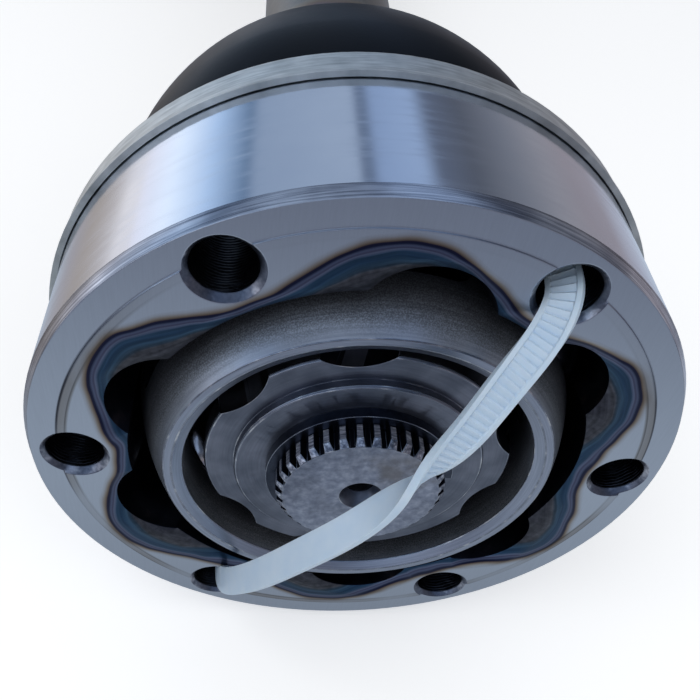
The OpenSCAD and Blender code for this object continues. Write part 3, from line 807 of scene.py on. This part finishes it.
def tie_cell():
    """One pitch of the tie, along X: plain rims at the sides, and a dip between them from rib to rib."""
    bpy.ops.object.select_all(action="DESELECT")
    bpy.ops.mesh.primitive_cube_add(size=1, location=(RIB_PITCH / 2 * MM, 0, 0),
                                    scale=(RIB_PITCH * MM, TIE_W * MM, TIE_T * MM))
    cell = bpy.context.object
    bpy.ops.object.transform_apply(location=True, rotation=True, scale=True)
    bpy.ops.object.mode_set(mode="EDIT")
    rim = TIE_W / 2 - TIE_RIM
    for y in (-rim, RIM_SLOPE - rim, rim - RIM_SLOPE, rim):
        bpy.ops.mesh.select_all(action="SELECT")
        bpy.ops.mesh.bisect(plane_co=(0, y * MM, 0), plane_no=(0, 1, 0))
    bpy.ops.mesh.select_all(action="SELECT")
    bpy.ops.mesh.bisect(plane_co=(RIB_PITCH * DIP_AT * MM, 0, 0), plane_no=(1, 0, 0))
    bpy.ops.mesh.select_all(action="DESELECT")
    bpy.ops.object.mode_set(mode="OBJECT")
    for face in cell.data.polygons:
        face.select = abs(face.normal.x) > 0.9
    bpy.ops.object.mode_set(mode="EDIT")
    bpy.ops.mesh.delete(type="FACE")
    bpy.ops.object.mode_set(mode="OBJECT")
    for corner in cell.data.vertices:
        x, y, z = (v / MM for v in corner.co)
        corner.select = z > 0 and abs(y) < rim - 0.1 and not 0.01 < x < RIB_PITCH - 0.01
    bpy.ops.object.mode_set(mode="EDIT")
    bpy.ops.transform.translate(value=(0, 0, -RIB_H * MM))
    bpy.ops.object.mode_set(mode="OBJECT")
    return cell


def nylon_tie(nylon):
    """The ribbed strap, bent along its route. It rides on the near flange."""
    route = tie_route()
    curve = bpy.data.curves.new("tie_route", "CURVE")
    curve.dimensions = "3D"
    curve.twist_mode = "MINIMUM"
    curve.resolution_u = 16
    spline = curve.splines.new("NURBS")
    spline.points.add(len(route) - 1)
    for k, (point, spot) in enumerate(zip(spline.points, route)):
        point.co = (*(spot * MM), 1)
        point.tilt = math.radians(TIE_TILT + turned_over(k))
    spline.order_u = 4
    spline.use_endpoint_u = True
    guide = bpy.data.objects.new("tie_route", curve)
    bpy.context.scene.collection.objects.link(guide)
    strap = tie_cell()
    strap.name = "nylon_tie"
    count = int(spline.calc_length() / (RIB_PITCH * MM))
    apply_modifier(strap, "ARRAY", count=count, use_merge_vertices=True, merge_threshold=0.01 * MM)
    apply_modifier(strap, "CURVE", object=guide, deform_axis="POS_X")
    only(strap)
    bpy.ops.object.shade_smooth_by_angle(angle=math.radians(35))
    bpy.data.objects.remove(guide)
    paint(strap, [nylon])
    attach(strap, "near_flange")


def lamp(name, at, aim, size, power):
    """A soft round lamp, which bright metal doesn't mirror."""
    bpy.ops.object.light_add(type="AREA", location=[v * MM for v in at])
    light = bpy.context.object
    light.name = name
    light.data.shape = "DISK"
    light.data.size = size * MM
    light.data.energy = power
    light.rotation_euler = (Vector(aim) - Vector(at)).to_track_quat("-Z", "Y").to_euler()
    light.visible_glossy = False


def surroundings():
    """White where the camera sees them, plain as light, and soft strips of colour where bright metal
    mirrors them."""
    world = bpy.data.worlds.new("studio")
    bpy.context.scene.world = world
    world.use_nodes = True
    tree = world.node_tree
    tree.nodes.clear()
    way = add(tree, "SeparateXYZ", {0: add(tree, "TexCoord").outputs["Generated"]})
    angle = add(tree, "Math", {0: way.outputs["X"], 1: way.outputs["Z"]}, operation="ARCTAN2")
    share = add(tree, "MapRange", {0: angle, "From Min": -math.pi, "From Max": math.pi})
    colours = [(-95, "#dbd9e3"), (-78, "#dde9f8"), (-61, "#a6bfde"), (-46, "#5b718c"), (-42, "#8595ab"),
               (-3, "#909fb4"), (-1, "#5d6b82"), (2, "#5a687f"), (5, "#8094b3"), (22, "#8b9fbd"),
               (28, "#555e70"), (42, "#4e535e"), (60, "#6b6f79"), (76, "#828289"), (90, "#837e85"),
               (110, "#8e8a92")]                # degrees round the shaft, from straight up
    strips = add(tree, "ValToRGB", {0: share}, stops=[((turn + 180) / 360, code) for turn, code in colours])
    rays = add(tree, "LightPath")
    seen = add(tree, "Math", {0: rays.outputs["Is Camera Ray"], 1: rays.outputs["Is Transmission Ray"]},
               operation="MAXIMUM")
    plain = add(tree, "Background", {"Color": linear("#e8ecf2"), "Strength": 0.62})
    mirrored = add(tree, "Background", {"Color": strips, "Strength": 1.5})
    white = add(tree, "Background", {"Color": WHITE, "Strength": 1})
    lit = add(tree, "MixShader", {0: rays.outputs["Is Glossy Ray"], 1: plain, 2: mirrored})
    add(tree, "OutputWorld", {"Surface": add(tree, "MixShader", {0: seen, 1: lit, 2: white})})


def pale_floor():
    """The floor: pale and lifted towards white for the camera. Where bright metal mirrors it, its colour
    goes by Y, in metres, in front of the near joint, and by X behind it."""
    bpy.ops.object.select_all(action="DESELECT")
    bpy.ops.mesh.primitive_plane_add(size=FLOOR_W, location=(0, HALF * MM, FLOOR_Z))
    floor = bpy.context.object
    floor.name = "floor"
    bpy.ops.object.transform_apply(location=True, rotation=True, scale=True)
    material, tree = start("pale_floor")
    rays = add(tree, "LightPath")
    lift = add(tree, "Math", {0: rays.outputs["Is Camera Ray"], 1: 0.4}, operation="MULTIPLY")
    pale = add(tree, "BsdfPrincipled", {"Base Color": linear("#f2f2f2"), "Roughness": 0.9,
                                        "Specular IOR Level": 0.0, "Emission Color": WHITE,
                                        "Emission Strength": lift})
    spot = add(tree, "SeparateXYZ", {0: add(tree, "TexCoord").outputs["Object"]})
    near_y = add(tree, "MapRange", {0: spot.outputs["Y"], "From Min": -0.2, "From Max": 0.02})
    ahead = add(tree, "ValToRGB", {0: near_y},
                stops=[(0.0, "#83889a"), (0.3, "#8d94a5"), (0.73, "#c2cedb"), (1.0, "#929aa6")])
    near_x = add(tree, "MapRange", {0: spot.outputs["X"], "From Min": -0.5, "From Max": 0.5})
    across = add(tree, "ValToRGB", {0: near_x},
                 stops=[(0.0, "#fffcff"), (0.19, "#d0cbcc"), (0.33, "#b3aba6"), (0.38, "#aba9b0"),
                        (0.42, "#b4c0d0"), (0.64, "#bcc8da"), (0.72, "#b3b8c9"), (0.94, "#a09ba4")])
    behind = add(tree, "MapRange", {0: spot.outputs["Y"], "From Min": 0.02, "From Max": 0.08})
    sky = add(tree, "MixRGB", {0: behind, 1: ahead, 2: across})
    reflected = add(tree, "Emission", {"Color": sky, "Strength": 1})
    shader = add(tree, "MixShader", {0: rays.outputs["Is Glossy Ray"], 1: pale, 2: reflected})
    add(tree, "OutputMaterial", {"Surface": shader})
    floor.data.materials.append(material)


def camera_at_photo():
    """The camera, where the photograph was taken from."""
    bpy.ops.object.camera_add(location=[v * MM for v in CAMERA_AT],
                              rotation=[math.radians(a) for a in CAMERA_TURN])
    camera = bpy.context.object
    camera.data.lens = CAMERA_LENS
    camera.data.shift_x, camera.data.shift_y = CAMERA_SHIFT
    camera.data.clip_start = 1 * MM
    bpy.context.scene.camera = camera
    bpy.context.scene.view_settings.view_transform = "Standard"


surroundings()
pale_floor()
lamp("key", (-250, -150, 500), (0, 60, 0), 420, 0.9)
lamp("fill", (300, -350, 350), (0, 60, 0), 400, 0.35)
camera_at_photo()

ring_finishes = [ground_bearing_steel(), turned_edge_steel(), heat_tinted_face(), shaded_greased_track_steel(),
                 drilled_steel(), countersunk_steel()]
# the near-black finish for tracks, bore and tooth gaps: grease, and painted shade deep in them
shaded_greased = ring_finishes[SHADED_GREASED]
cage_finishes = [phosphated_steel(), turned_rim_steel()]
# the softened edges' finish: rubbed wear, and a painted highlight along the edges
tube_steel, race_steel, edge_wear_and_highlight = drawn_tube_steel(), turned_race_steel(), edge_wear_and_highlight_steel()
stub_finishes = [sawn_shaft_steel(), tube_steel, cut_tooth_steel(), rolled_tooth_steel(), shaded_greased,
                 race_steel]
clip_steel, zinc = spring_steel(), zinc_plated_sheet()
rubber, band, ball_steel = moulded_rubber(), stainless_band(), polished_ball_steel()
for side in ("near", "far"):
    dress(f"{side}_outer_ring", f"ground_ring_{side}", 0.14, ring_finishes, ring_zone)
    dress(f"{side}_cage", f"ball_cage_{side}", 0.16, cage_finishes, cage_zone, edge_wear_and_highlight)
    dress(f"{side}_race", f"star_race_{side}", 0.12, [race_steel, shaded_greased], race_zone, edge_wear_and_highlight)
    dress(f"{side}_circlip", f"shaft_circlip_{side}", 0.1, [clip_steel], edge=edge_wear_and_highlight)
    dress(f"{side}_washer", f"spring_washer_{side}", 0.1, [clip_steel])
    dress(f"{side}_stub", f"splined_stub_{side}", 0.08, stub_finishes, stub_zone, edge_wear_and_highlight)
    dress(f"{side}_cover", f"pressed_cover_{side}", 0.12, [zinc], reshape=tuck_lip)
    dress(f"{side}_clamp", f"band_clamp_{side}", 0.1, [band])
    for k in range(1, 7):
        paint(frame["nodes"][f"{side}_ball_{k}"], [ball_steel])
    boot(side, rubber)
dress("shaft_tube", "drawn_tube", 0.1, [tube_steel])
nylon_tie(natural_nylon())
